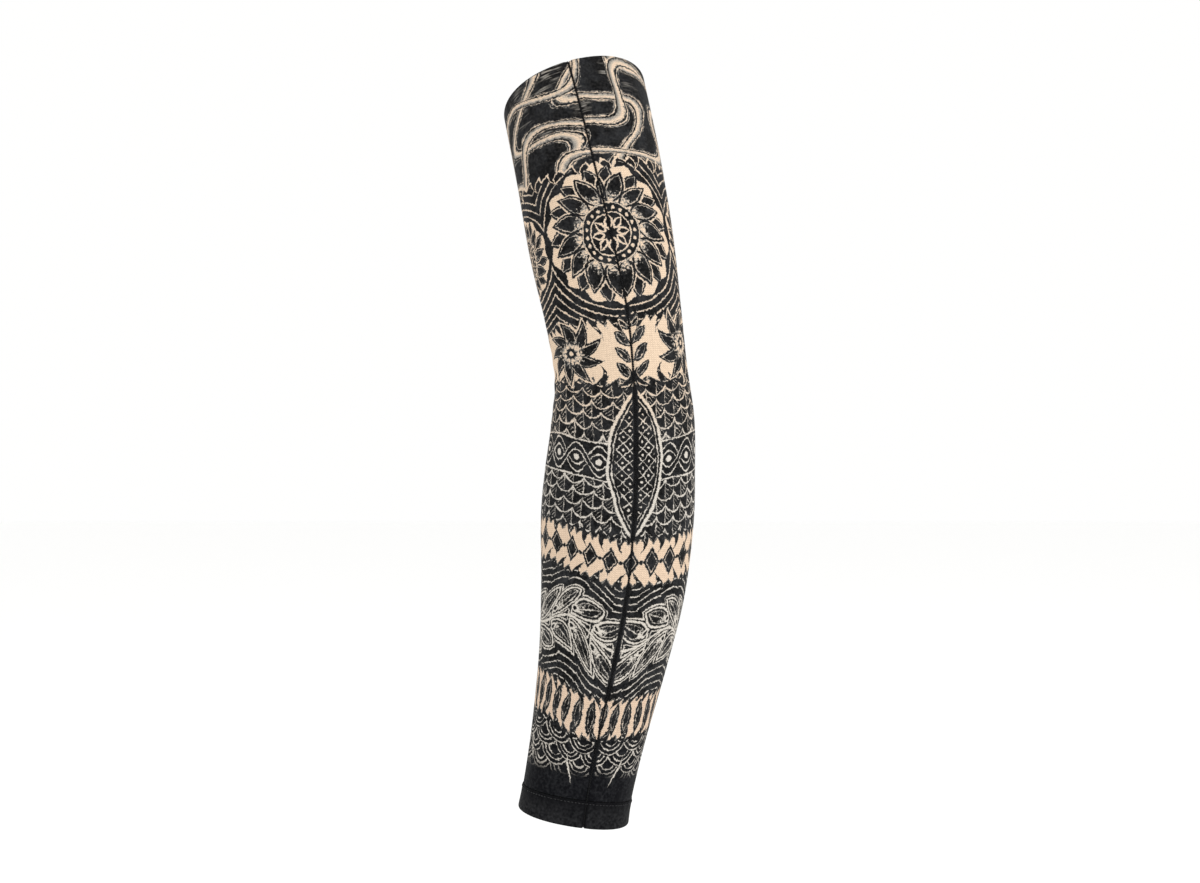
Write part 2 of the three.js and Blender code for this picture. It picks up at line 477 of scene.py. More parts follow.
def covered(shape):
    return maths("MULTIPLY_ADD", shape, 1 / INK_EDGE, 0.5, clamp=True)


def dry_strokes(shape, start, depth):
    """Strokes of a dry brush inside a shape. They are full at start and thin out over a depth from there."""
    thinning = maths("MULTIPLY_ADD", start, -1 / depth, grain)
    strokes = maths("MULTIPLY_ADD", thinning, STROKE_HARD, STROKE_HARD * STROKE_FULL, clamp=True)
    return both(strokes, covered(shape))


class Print:
    """The ink laid on the cloth so far, from 0, bare, to 1, black."""

    def __init__(self, ink):
        self.ink = ink

    def black(self, shape):
        self.ink = either(self.ink, covered(shape))

    def bare(self, shape):
        kept = maths("MULTIPLY_ADD", shape, -1 / INK_EDGE, 0.5, clamp=True)
        self.ink = both(self.ink, kept)

    def shade(self, shape, start, depth):
        self.ink = either(self.ink, dry_strokes(shape, start, depth))

    def lighten(self, shape, start, depth):
        self.ink = both(self.ink, 1.0 - dry_strokes(shape, start, depth))

    def wash(self, shape, start, depth, strength):
        """Thin grey ink inside a shape, which fades over a depth from start."""
        fade = maths("MULTIPLY_ADD", start, -1 / depth, 1.0, clamp=True)
        speckled = maths("MULTIPLY_ADD", grain, WASH_SPECKLE, 1.0) * fade * strength
        self.ink = either(self.ink, both(speckled, covered(shape)))

    def brush(self, shape):
        """Streaks across the sleeve where a brush has left the black thin."""
        self.ink = both(self.ink, 1.0 - both(streaks, covered(shape)))


def petals(radius, turn, count, inner, outer, half_width, skew=1.0):
    """A ring of pointed petals between two radii. A skew below 1 makes them widest nearer the middle."""
    sideways = radius * maths("PINGPONG", turn, pi / count)
    share = reached(radius, inner, outer - inner)
    if skew != 1.0:
        share = maths("POWER", share, skew)
    bulge = maths("SINE", share * pi) * half_width
    return both(bulge - sideways, radius - inner, outer - radius)


def beads(radius, turn, count, at, size):
    """A ring of round beads."""
    sideways = radius * maths("PINGPONG", turn, pi / count)
    return size - far(sideways, radius - at)


def leaf(sideways, lengthways, half_length, half_width):
    """A leaf pointed at both ends."""
    bow = (half_length**2 + half_width**2) / (2 * half_width)
    return bow - far(lengthways, maths("ABSOLUTE", sideways) + (bow - half_width))


def leaned(sideways, lengthways, degrees):
    """The same place seen in axes that lean by an angle."""
    cosine, sine = np.cos(radians(degrees)), np.sin(radians(degrees))
    return sideways * cosine - lengthways * sine, sideways * sine + lengthways * cosine


FLAME_CURL = 0.32  # how quickly a flame bends to and fro along its height
FLAME_SWAY = 0.22  # how far it bends, as a share of the pitch
TALL_SHARP = 3.0
SHORT_SHARP = 2.0
SHORT_FLAME = 0.45  # height of a short flame as a share of a tall one's


def flames(sideways, lengthways, pitch, height):
    """An edge of pointed flames, tall and short in turn, that lick to one side."""
    swept = sideways + maths("SINE", lengthways * FLAME_CURL) * (pitch * FLAME_SWAY)
    wave = maths("PINGPONG", swept, pitch / 2) * (2 / pitch)
    tall = maths("POWER", wave, TALL_SHARP)
    short = maths("POWER", 1.0 - wave, SHORT_SHARP) * SHORT_FLAME
    return either(tall, short) * height


def scales(sideways, lengthways, wide, high, reach):
    """Rows of overlapping round scales: how far inside the edge of the scale on top a place lies, and
    where it is across and down that scale."""
    row = maths("FLOOR", lengthways * (1 / high))
    seen = None
    for later in (1, 0, -1):
        this_row = row + later
        stagger = maths("PINGPONG", this_row, 1.0) * (wide / 2)
        from_middle = repeated(sideways, wide, stagger)
        below = lengthways - this_row * high
        scale = (reach - far(from_middle, below), from_middle, below)
        if seen is None:
            seen = scale
        else:
            on_top = maths("GREATER_THAN", scale[0], 0.0)
            seen = [maths("MULTIPLY_ADD", on_top, over - under, under) for over, under in zip(scale, seen)]
    return seen


art = Print(everywhere(1.0))

# Ribbons of bare cloth that wind through black at the top, six of them under four others, shaded along
# their edges and echoed by thin lines
RIBBONS_END = 50.0
RIBBON_STEEP = 11.0  # millimetres across a ribbon for each unit of the wave that it follows
RIBBON_HALF = 2.5
RIBBON_SHADOW = 1.1  # black that parts a ribbon from those under it
ECHO_NEAR = 1.6
ECHO_FAR = 2.7
ARM_RADIUS = 39.0
right, back, _ = split(print_art, art_in.outputs["Place"])
angle = maths("ARCTAN2", right, back * -1.0) + wander_across * (1 / ARM_RADIUS)
top_field = RIBBONS_END + flames(across, along, pitch=14.0, height=8.0) - along


def winding(rounds, climb, sway, sway_rounds, sway_climb):
    """A wave round the arm and down it that sways to and fro. A ribbon lies wherever it crosses zero."""
    swayed = maths("SINE", angle * sway_rounds + along * sway_climb) * sway
    return maths("SINE", angle * rounds + along * climb + swayed)


lower_ribbons = winding(rounds=3.0, climb=-0.05, sway=1.4, sway_rounds=2.0, sway_climb=0.12)
upper_ribbons = winding(rounds=2.0, climb=0.11, sway=1.3, sway_rounds=3.0, sway_climb=-0.10)
from_any_ribbon = top_field
for swirl in (lower_ribbons, upper_ribbons):
    from_ribbon = maths("MULTIPLY_ADD", maths("ABSOLUTE", swirl), RIBBON_STEEP, -RIBBON_HALF)
    from_one_edge = maths("MULTIPLY_ADD", swirl, -RIBBON_STEEP, RIBBON_HALF)
    in_ribbon = both(top_field, outside(from_ribbon))
    art.black(both(top_field, RIBBON_SHADOW - from_ribbon))
    art.bare(in_ribbon)
    art.wash(in_ribbon, from_one_edge, depth=3.0, strength=0.75)
    art.shade(in_ribbon, outside(from_ribbon), depth=0.7)
    art.black(both(in_ribbon, line(from_ribbon, at=-1.2, width=0.0)))
    art.bare(both(top_field - 1.0, line(from_ribbon, at=ECHO_NEAR, width=0.5)))
    art.bare(both(top_field - 1.0, line(from_ribbon, at=ECHO_FAR, width=0.0)))
    from_any_ribbon = both(from_any_ribbon, from_ribbon - ECHO_NEAR)
art.brush(from_any_ribbon - 2.0)
art.bare(line(top_field, at=0.0, width=1.2))

# Bands of bare cloth with flames of ink along both sides, wider and shifted along the lower one
UPPER_BAND = (130.5, 169.5)
MIDDLE_BAND = (245.5, 272.5)
LOWER_BAND = (329.5, 355.0)
LOWER_FLAMES_WIDER = 1.2
LOWER_FLAMES_SHIFT = 0.3
UPPER_DOWN, MIDDLE_DOWN, LOWER_DOWN = (sum(ends) / 2 for ends in (UPPER_BAND, MIDDLE_BAND, LOWER_BAND))


def bare_band(top, end, pitch, height):
    upper_flames = flames(across, along, pitch, height)
    shifted = across + pitch * LOWER_FLAMES_SHIFT
    lower_flames = flames(shifted, along, pitch * LOWER_FLAMES_WIDER, height)
    shape = both(along - upper_flames - top, end - lower_flames - along)
    art.bare(shape)
    art.shade(shape, shape, depth=1.6)
    return shape


upper_band = bare_band(*UPPER_BAND, pitch=11.0, height=12.0)
middle_band = bare_band(*MIDDLE_BAND, pitch=9.5, height=9.0)
lower_band = bare_band(*LOWER_BAND, pitch=8.5, height=9.0)

# Rosettes of curved petals between the ribbons and the upper band, with lines that echo them
ROSETTE_DOWN = 89.0
ROSETTE_EDGE = 36.5
ROSETTE_FIELD = 35.0  # radius of the bare cloth round the petals
SCALLOP = 1.4
PETAL_SWEEP = 0.012
HUB = 16.5
ECHO_PITCH = 4.0
SIDE_ROSETTE_AWAY = 60.0


def rosette(sideways, lengthways, size, count):
    """Draws a rosette, and gives how far a place lies outside it."""
    radius = far(sideways, lengthways) * (1 / size)
    turn = maths("ARCTAN2", sideways, lengthways)
    art.bare(maths("COSINE", turn * count) * SCALLOP - radius + ROSETTE_FIELD)
    swept = turn + radius * PETAL_SWEEP
    rim = petals(radius, swept + pi / count, count, inner=17, outer=36, half_width=4.6, skew=1.15)
    art.black(rim)
    art.bare(line(rim, at=1.4, width=0.3))
    front = petals(radius, swept, count, inner=14, outer=33, half_width=5.3, skew=0.9)
    art.bare(front + 0.8)
    art.black(front)
    art.bare(line(front, at=1.5, width=0.3))
    art.lighten(front - 1.8, radius - HUB, depth=6.5)
    art.black(HUB - radius)
    art.bare(line(radius, at=16.0, width=0.6))
    art.bare(beads(radius, turn, count=20, at=13.3, size=0.95))
    art.bare(line(radius, at=10.8, width=0.6))
    art.bare(petals(radius, turn, count=8, inner=2.4, outer=10.2, half_width=2.2, skew=0.9))
    art.black(petals(radius, turn, count=8, inner=3.4, outer=9.2, half_width=1.1, skew=0.9))
    return (radius - ROSETTE_EDGE) * size


from_rosettes = both(
    rosette(across, along - ROSETTE_DOWN, size=1.0, count=14),
    rosette(across - SIDE_ROSETTE_AWAY, along - ROSETTE_DOWN, size=0.62, count=10),
    rosette(behind, along - ROSETTE_DOWN, size=1.0, count=14))
echo = line(repeated(from_rosettes, ECHO_PITCH, shift=ECHO_PITCH / 2), at=0.0, width=0.6)
art.bare(both(echo, from_rosettes - 1.2, outside(top_field, 2.0), outside(upper_band, 2.0),
              UPPER_DOWN - along))

# Flowers in the upper band, with a branch of leaves up the seam and another up the back
BRANCH_LEAF_AWAY = 4.4
BRANCH_PITCH = 8.4
FLOWER_FROM_SEAM = 34.0
FLOWER_FROM_BACK = 32.0
FLOWER_SWEEP = 0.03
art.bare(leaf(behind, along - UPPER_DOWN, half_length=18.0, half_width=9.0))
art.black(both(line(behind, at=0.0, width=0.7), upper_band))
in_upper_band = upper_band - 1.5
for sideways in (across, behind):
    beside_stem = leaned(sideways - BRANCH_LEAF_AWAY, repeated(along, BRANCH_PITCH), degrees=-38)
    branch_leaf = leaf(*beside_stem, half_length=6.4, half_width=2.3)
    art.black(both(branch_leaf, in_upper_band))
    art.bare(both(line(branch_leaf, at=1.1, width=0.1), in_upper_band))
for sideways in (across - FLOWER_FROM_SEAM, behind - FLOWER_FROM_BACK):
    radius = far(sideways, along - UPPER_DOWN)
    swept = maths("ARCTAN2", sideways, along - UPPER_DOWN) + radius * FLOWER_SWEEP
    flower = petals(radius, swept, count=9, inner=2.0, outer=21.0, half_width=4.4, skew=0.75)
    art.bare(flower + 0.9)
    art.black(flower)
    art.bare(line(flower, at=1.4, width=0.2))
    art.lighten(flower - 1.6, radius - 4.0, depth=6.0)
    art.black(3.0 - radius)
    art.bare(1.4 - radius)

# Scales in rows round the elbow, like feathers with barbs, and a braid across them
BARB_SLOPE = -0.9
BRAID_DOWN = 208.0
BRAID_HALF = 10.5
STRAND_PITCH = 26.0
STRAND_SWING = 6.2
feather_field = both(outside(upper_band, 3.0), outside(middle_band, 3.0),
                     along - UPPER_DOWN, MIDDLE_DOWN - along)
feather, feather_across, feather_down = scales(across, along, wide=11.4, high=6.0, reach=6.9)
barbs = repeated(feather_down + maths("ABSOLUTE", feather_across) * BARB_SLOPE, pitch=2.1)
art.bare(both(feather_field, line(feather, at=0.6, width=0.65)))
art.bare(both(feather_field, feather - 2.0, line(barbs, at=0.0, width=0.15), feather_across))
art.bare(both(feather_field, feather - 1.2, line(feather_across, at=0.0, width=0.25)))
from_braid = along - BRAID_DOWN
strand = maths("SINE", across * (2 * pi / STRAND_PITCH)) * STRAND_SWING
braid_band = BRAID_HALF - maths("ABSOLUTE", from_braid)
art.black(braid_band)
art.bare(line(braid_band, at=0.6, width=0.7))
for crossing in (strand, outside(strand)):
    from_strand = maths("ABSOLUTE", from_braid - crossing)
    art.black(3.3 - from_strand)
    art.bare(line(from_strand, at=2.0, width=0.7))
from_bead = far(repeated(across, STRAND_PITCH / 2, shift=STRAND_PITCH / 4), from_braid)
art.bare(1.7 - from_bead)

# A long spindle over the seam and at the back, crossed by a lattice with a dot in every cell
LATTICE_HALF = 3.4
for sideways in (across, behind):
    spindle = leaf(sideways, from_braid, half_length=36.0, half_width=14.0)
    art.bare(spindle + 1.5)
    art.black(spindle)
    art.bare(line(spindle, at=1.6, width=0.4))
    lattice_right = maths("PINGPONG", sideways + along, LATTICE_HALF)
    lattice_left = maths("PINGPONG", sideways - along, LATTICE_HALF)
    art.bare(both(spindle - 3.0, line(both(lattice_right, lattice_left), at=0.0, width=0.5)))
    from_dot = far(LATTICE_HALF - lattice_right, LATTICE_HALF - lattice_left)
    art.bare(both(spindle - 4.0, 0.8 - from_dot))

# Diamonds and dots along the middle band
DIAMOND_PITCH = 11.0
DIAMOND_HALF = 4.6
DIAMOND_SLOPE = 0.62
diamond_across = maths("ABSOLUTE", repeated(across, DIAMOND_PITCH))
diamond_along = maths("ABSOLUTE", along - MIDDLE_DOWN)
diamond = DIAMOND_HALF - diamond_across - diamond_along * DIAMOND_SLOPE
art.black(both(diamond, middle_band - 0.5))
art.bare(both(line(diamond, at=1.5, width=0.2), middle_band - 0.5))
art.black(1.1 - far(repeated(across, DIAMOND_PITCH, shift=DIAMOND_PITCH / 2), along - MIDDLE_DOWN))

# A garland of long leaves that winds round the forearm to a medallion at the back, with berries between
# the leaves and lines that echo them
GARLAND_DOWN = 301.0
STEM_PITCH = 54.0
STEM_SWING = 5.5
LEAF_PITCH = 13.0
LEAF_HALF = 10.5
LEAF_AWAY = 9.0
BERRY_AWAY = 5.0
VEIN_SLOPE = 1.2
NO_GARLAND_YET = 60.0  # further than any place lies from it
stem_wave = maths("COSINE", across * (2 * pi / STEM_PITCH)) * STEM_SWING
from_stem = maths("ABSOLUTE", along - stem_wave - GARLAND_DOWN)
art.bare(line(from_stem, at=0.0, width=1.3))
from_garland = everywhere(NO_GARLAND_YET)
for shift in (LEAF_PITCH / 2, LEAF_PITCH * 3 / 2):
    along_stem = repeated(across, 2 * LEAF_PITCH, shift)
    leaf_across, leaf_along = leaned(from_stem - LEAF_AWAY, along_stem, degrees=-42)
    long_leaf = leaf(leaf_across, leaf_along, LEAF_HALF, half_width=4.0)
    veins = repeated(leaf_along + maths("ABSOLUTE", leaf_across) * VEIN_SLOPE, pitch=2.4)
    art.bare(long_leaf + 0.9)
    art.black(long_leaf)
    art.bare(line(long_leaf, at=1.2, width=0.2))
    art.lighten(long_leaf - 1.5, LEAF_HALF - 3.5 - leaf_along, depth=7.0)
    art.bare(both(long_leaf - 1.2, line(veins, at=0.0, width=0.05), leaf_across))
    art.bare(both(long_leaf - 1.0, line(leaf_across, at=0.0, width=0.35)))
    from_garland = both(from_garland, outside(long_leaf))
berry = far(repeated(across, LEAF_PITCH), from_stem - BERRY_AWAY)
art.bare(2.0 - berry)
art.black(1.1 - berry)
medallion = rosette(behind, along - GARLAND_DOWN, size=0.56, count=12)
from_garland = both(from_garland, berry - 2.0, medallion)
echo = line(repeated(from_garland, ECHO_PITCH, shift=ECHO_PITCH / 2), at=0.0, width=0.5)
art.bare(both(echo, from_garland - 1.4, outside(middle_band, 2.0), outside(lower_band, 2.0),
              along - MIDDLE_DOWN, LOWER_DOWN - along))

# Long drops in the lower band
drop = leaf(repeated(across, pitch=6.6), along - LOWER_DOWN, half_length=9.5, half_width=2.4)
art.black(both(drop, lower_band - 0.6))
art.bare(both(line(drop, at=1.2, width=0.05), lower_band - 0.6))

# Waves of nested arcs above the wrist band, fading into black, and a few long strokes below them
WAVES_TOP = 348.0
WAVES_END = 369.0
WAVES_FADE = 20.0
STROKES_DOWN = 371.0
waves, _, _ = scales(across, along, wide=15.0, high=6.2, reach=8.4)
fading = (WAVES_END - down) * (1 / WAVES_FADE)
for arc in (0.7, 2.9, 5.1):
    art.bare(both(line(waves, arc, width=0.4), fading, along - WAVES_TOP, outside(lower_band, 3.0)))
slanted_place = leaned(repeated(across, pitch=27.0, shift=13.0), along - STROKES_DOWN, degrees=-19)
art.bare(leaf(*slanted_place, half_length=7.5, half_width=0.42))

# A plain dark strip along the seam below the rosettes, except where it crosses a bare band
SEAM_STRIP = 1.6
STRIP_FROM = 126.0
in_a_band = either(upper_band, middle_band, lower_band)
art.black(both(SEAM_STRIP + pen - away, along - STRIP_FROM, outside(in_a_band)))

# A thin dark line drawn with the ink along the cut edge of the mouth: painted shade on the edge
art.black(line(down, at=0.0, width=1.0))

DARK_FROM = 168.0  # from here the thin lines turn greyer than the bare bands, over the next length
DARKENING = 30.0
DEEP_FROM = 335.0  # the black gets deeper from here to the wrist band, over the next length
DEEPENING = 30.0
dark_field = both(reached(down, DARK_FROM, DARKENING), covered(outside(in_a_band)))
fill(print_art, art_out.inputs["Ink"], art.ink)
fill(print_art, art_out.inputs["Dark Field"], dark_field)
fill(print_art, art_out.inputs["Deep Black"], reached(down, DEEP_FROM, DEEPENING))

KNIT_FINISH = {"Roughness": 0.72, "Specular IOR Level": 0.05, "Sheen Weight": 0.02, "Sheen Roughness": 0.45}


def new_material(name, finish):
    """A material with the plain values of its shader set, its node tree and that shader."""
    material = bpy.data.materials.new(name)
    material.use_nodes = True
    shader = material.node_tree.nodes["Principled BSDF"]
    for title, value in finish.items():
        shader.inputs[title].default_value = value
    return material, material.node_tree, shader


def knit_material(name):
    """A material with the fine knit's loops in its bump, its node tree and shader, its knit, and where it
    reads the cloth."""
    material, tree, shader = new_material(name, KNIT_FINISH)
    cloth = put(tree, "ShaderNodeAttribute", {"attribute_name": "cloth"}).outputs["Vector"]
    place = put(tree, "ShaderNodeTexCoord").outputs["Object"]
    knit = put(tree, "ShaderNodeGroup", {"node_tree": fine_knit}, Cloth=cloth, Place=place)
    bump = put(tree, "ShaderNodeBump", Strength=0.35, Distance=0.15 * MM, Height=knit.outputs["Height"])
    fill(tree, shader.inputs["Normal"], bump.outputs["Normal"])
    return material, tree, shader, knit, cloth, place


MIX_INPUTS = (0, 6, 7)  # the Mix node's sockets for the share and two colours
MIX_OUTPUT = 2


def mixed(tree, share, first, second, blend="MIX"):
    """A colour between two others."""
    node = put(tree, "ShaderNodeMix", {"data_type": "RGBA", "blend_type": blend})
    for at, value in zip(MIX_INPUTS, (share, first, second)):
        fill(tree, node.inputs[at], value)
    return node.outputs[MIX_OUTPUT]


# The printed face: ecru yarn, greyer under thin ink, darker in the dips of the knit as painted shade and a
# little darker towards the wrist, partly as painted shade, and black dye that is worn in patches, varies
# from yarn to yarn and lets some bare yarn show
ECRU = (0.70, 0.54, 0.395, 1)
SHADED_WRIST_ECRU = (0.645, 0.485, 0.36, 1)
GREYED_ECRU = (0.61, 0.565, 0.50, 1)
PRINT_BLACK = (0.0026, 0.0027, 0.0031, 1)
WRIST_BLACK = (0.0025, 0.0027, 0.0039, 1)
WASHED_BLACK = (0.021, 0.022, 0.0245, 1)
WRIST_FROM = 180.0  # the cloth changes from here towards the wrist, over the next length
WRIST_LENGTH = 150.0
THIN_INK_GREYS = 1.8  # how fast the cloth turns grey under thin ink
PALE_GRAIN = 0.35  # how much the yarn varies in the bare cloth
BLACK_GRAIN = 0.75  # and in the black, twice that at the wrist
DEEP_UNWORN = 0.55  # share of the worn patches that the deep black near the wrist lacks
DEEP_COVER = 0.8  # share of the bare yarn that it covers
printed_knit, tree, shader, knit, cloth, place = knit_material("printed_knit")
ornament = put(tree, "ShaderNodeGroup", {"node_tree": print_art}, Cloth=cloth, Place=place)
ink = Drawn(tree, ornament.outputs["Ink"])
deep = Drawn(tree, ornament.outputs["Deep Black"])
yarn = Drawn(tree, knit.outputs["Heather"]) - 0.5
_, down, _ = split(tree, cloth)
towards_wrist = reached(down, WRIST_FROM, WRIST_LENGTH)
# Painted shade, in part: the bare cloth darkens towards the wrist, where less light falls
pale = mixed(tree, towards_wrist, ECRU, SHADED_WRIST_ECRU)
thin_ink = maths("MULTIPLY", ink, THIN_INK_GREYS, clamp=True)
pale = mixed(tree, either(thin_ink, Drawn(tree, ornament.outputs["Dark Field"])), pale, GREYED_ECRU)
# Painted shade: the bare cloth is darker where the knit's loops dip, with the yarn's own grain added to it
knit_shade_and_grain = put(tree, "ShaderNodeMapRange", Value=knit.outputs["Height"], To_Min=0.77, To_Max=1.08)
knit_shade_and_grain = Drawn(tree, knit_shade_and_grain.outputs["Result"]) + yarn * PALE_GRAIN
pale = mixed(tree, 1.0, pale, knit_shade_and_grain, "MULTIPLY")
bare_yarn = put(tree, "ShaderNodeMapRange", Value=knit.outputs["Heather"],
                From_Min=0.35, From_Max=0.75, To_Min=0.0, To_Max=0.018)
bare_yarn = Drawn(tree, bare_yarn.outputs["Result"]) * (1.0 - deep * DEEP_COVER)
worn = put(tree, "ShaderNodeGroup", {"node_tree": worn_dye}, Place=place)
wear = Drawn(tree, worn.outputs["Wear"]) * (1.0 - deep * DEEP_UNWORN)
wear = wear + yarn * (towards_wrist * BLACK_GRAIN + BLACK_GRAIN)
fresh_black = mixed(tree, deep, PRINT_BLACK, WRIST_BLACK)
black = mixed(tree, wear, fresh_black, WASHED_BLACK)
fill(tree, shader.inputs["Base Color"], mixed(tree, ink * (1.0 - bare_yarn), pale, black))

# The reverse: bare knit on which the print shows through
REVERSE_ECRU = (0.70, 0.58, 0.46, 1)
SHOW_THROUGH = 0.3
knit_reverse, tree, shader, _, cloth, place = knit_material("knit_reverse")
ornament = put(tree, "ShaderNodeGroup", {"node_tree": print_art}, Cloth=cloth, Place=place)
show_through = put(tree, "ShaderNodeMapRange", Value=ornament.outputs["Ink"], To_Max=SHOW_THROUGH)
reverse_colour = mixed(tree, show_through.outputs["Result"], REVERSE_ECRU, PRINT_BLACK)
fill(tree, shader.inputs["Base Color"], reverse_colour)

panel.data.materials.append(printed_knit)
panel.data.materials.append(knit_reverse)
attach(panel, "root")
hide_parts("sleeve_panel")


# The wrist band: plain black knit, cut as a strip, folded double along its lower edge and sewn to the
# panel's end. It stands a little proud of the panel and puckers where the stitches hold it.
BAND_THICK = 0.75
BAND_OUTER = 0.02  # middle of the outer layer, from the panel's outer face
BAND_INNER = -1.03  # middle of the inner layer
BAND_ROWS = 12
BAND_COLUMNS = 121
FOLD_RADIUS = (BAND_OUTER - BAND_INNER) / 2
FOLD_STEPS = 9
FOLD_ROOM = 0.4  # from the middle of the cloth in the fold to the sleeve's lower edge
FOLD_DOWN = SLEEVE_LENGTH - FOLD_RADIUS - FOLD_ROOM
BAND_DIP = 0.35  # at the seam
BAND_DIP_WIDE = 1.4
BAND_PUCKER = 0.1
BAND_PUCKER_HIGH = 3.0
HEM_STITCH_DROP = 1.3  # from the band's top edge to the stitches that hold it
HEM_GROOVE = 0.16  # along those stitches
HEM_GROOVE_HIGH = 0.7

band_downs = close_at_ends(BAND_TOP, FOLD_DOWN, BAND_ROWS, EDGE_STEPS[:6])
fold_turns = np.linspace(0, pi, FOLD_STEPS)[1:-1]
fold_downs = FOLD_DOWN + FOLD_RADIUS * np.sin(fold_turns)
fold_outs = (BAND_OUTER + BAND_INNER) / 2 + FOLD_RADIUS * np.cos(fold_turns)
band_path = np.vstack([
    np.stack([band_downs, np.full_like(band_downs, BAND_OUTER)], -1),
    np.stack([fold_downs, fold_outs], -1),
    np.stack([band_downs[::-1], np.full_like(band_downs, BAND_INNER)], -1),
])


def band_ripple(down, away, side):
    dip = -BAND_DIP * mound(away, BAND_DIP_WIDE)
    from_stitches = down - BAND_TOP - HEM_STITCH_DROP
    pucker = BAND_PUCKER * mound(from_stitches, BAND_PUCKER_HIGH) * hem_waves(away, side)
    groove = -HEM_GROOVE * mound(from_stitches, HEM_GROOVE_HIGH)
    return dip + pucker + groove


band = cloth_round_arm("wrist_band_cloth", band_path, BAND_THICK, BAND_COLUMNS, band_ripple)

BAND_BLACK = (0.0022, 0.0023, 0.0031, 1)
BAND_WASHED = (0.0205, 0.0208, 0.0222, 1)
TOP_SHADE_WEAR = 0.1  # how much wear shows at the band's top, kept low as painted shade below the stitches, and how much more at its lower edge, which is fuzzy
WEAR_GROWS_DOWN = 1.3
BAND_PATCHES = 0.35
BAND_GRAIN = 2.4
BAND_WEAR = 0.325
black_knit, tree, shader, knit, cloth, place = knit_material("black_knit")
worn = put(tree, "ShaderNodeGroup", {"node_tree": worn_dye}, Place=place)
away, down, _ = split(tree, cloth)
down_band = maths("MULTIPLY_ADD", down, 1 / BAND_HEIGHT, -BAND_TOP / BAND_HEIGHT)
# Painted shade: the band is kept darker at its top, below the stitches, and shows more of its worn grey
# towards its fuzzy lower edge
top_shade_to_fuzz = maths("MULTIPLY_ADD", down_band, WEAR_GROWS_DOWN, TOP_SHADE_WEAR, clamp=True)
# Painted shade: the band keeps its darkest black in the seam's groove
out_of_groove_shade = reached(away, start=0.5, length=1.25)
yarn = Drawn(tree, knit.outputs["Heather"]) - 0.5
wear = Drawn(tree, worn.outputs["Wear"]) * BAND_PATCHES + yarn * BAND_GRAIN + BAND_WEAR
wear = wear * top_shade_to_fuzz * out_of_groove_shade
fill(tree, shader.inputs["Base Color"], mixed(tree, wear, BAND_BLACK, BAND_WASHED))
band.data.materials.append(black_knit)
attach(band, "root")
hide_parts("wrist_band")


# The long seam: the panel's two edges sewn together and overlocked, from the mouth to the lower edge.
# Outside it is a narrow groove with a ladder of black thread, and inside a flat ridge of the trimmed
# edges.
SEAM_ROWS = 240
SEAM_START = 0.3  # from the mouth
SEAM_END = 0.5  # from the sleeve's lower edge
RIDGE_HALF_WIDE = 2.0
RIDGE_DEEP = -2.1
SEAM_BASE = -0.62  # bottom of the groove, from the cloth's outer face
RIDGE_OUTLINE = np.array([
    # round, out
    (0.0, SEAM_BASE), (0.35, SEAM_BASE - 0.12), (0.45, SEAM_BASE - 0.4), (0.6, -1.0), (1.4, -1.05),
    (RIDGE_HALF_WIDE, -1.3), (RIDGE_HALF_WIDE, RIDGE_DEEP + 0.4), (1.5, RIDGE_DEEP), (0.0, RIDGE_DEEP - 0.1),
])


def turn_for(down, arc):
    """The turn from the seam that an arc of the given length makes, close to the seam."""
    step = 0.02
    reach = np.linalg.norm(on_arm(down, step, 0.0) - on_arm(down, -step, 0.0), axis=-1)
    return arc * 2 * step / reach


seam_downs = np.linspace(SEAM_START, SLEEVE_LENGTH - SEAM_END, SEAM_ROWS)
left_outline = RIDGE_OUTLINE[-2:0:-1] * (-1, 1)
seam_outline = np.vstack([RIDGE_OUTLINE, left_outline])
seam_down = np.repeat(seam_downs, len(seam_outline))
seam_arc = np.tile(seam_outline[:, 0], len(seam_downs))
seam_out = np.tile(seam_outline[:, 1], len(seam_downs))
seam_points = on_arm(seam_down, turn_for(seam_down, seam_arc), seam_out) * MM
ring = len(seam_outline)
top_end = tuple(range(ring))
lower_end = tuple(range(len(seam_points) - 1, len(seam_points) - ring - 1, -1))
seam_faces = [top_end, lower_end]
for row in range(SEAM_ROWS - 1):
    for corner in range(ring):
        onward = (corner + 1) % ring
        upper = row * ring
        lower = upper + ring
        seam_faces.append((upper + corner, lower + corner, lower + onward, upper + onward))
seam = new_piece("long_seam_ridge", seam_points.tolist(), [], seam_faces)
seam.data.shade_smooth()


def thread_material(name, shaded_hollows, highlit_crests):
    """Twisted thread, darker where the twist dips, as painted shade, and lighter where it rises, as a
    painted highlight.
    """
    material, tree, shader = new_material(name, {"Roughness": 0.6, "Specular IOR Level": 0.1})
    place = put(tree, "ShaderNodeTexCoord").outputs["Object"]
    twist = put(tree, "ShaderNodeTexWave", {"bands_direction": "DIAGONAL"}, Vector=place,
                Scale=420.0, Distortion=1.5)
    # Painted shade in the twist's dips and a painted highlight on its tops, along the same waves as the bump
    fill(tree, shader.inputs["Base Color"], mixed(tree, twist.outputs["Fac"], shaded_hollows, highlit_crests))
    bump = put(tree, "ShaderNodeBump", Strength=0.4, Distance=0.08 * MM, Height=twist.outputs["Fac"])
    fill(tree, shader.inputs["Normal"], bump.outputs["Normal"])
    return material


black_thread = thread_material(
    "black_thread", shaded_hollows=(0.0024, 0.0024, 0.0027, 1), highlit_crests=(0.0095, 0.0095, 0.0105, 1))
seam.data.materials.append(black_thread)
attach(seam, "root")
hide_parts("long_seam")


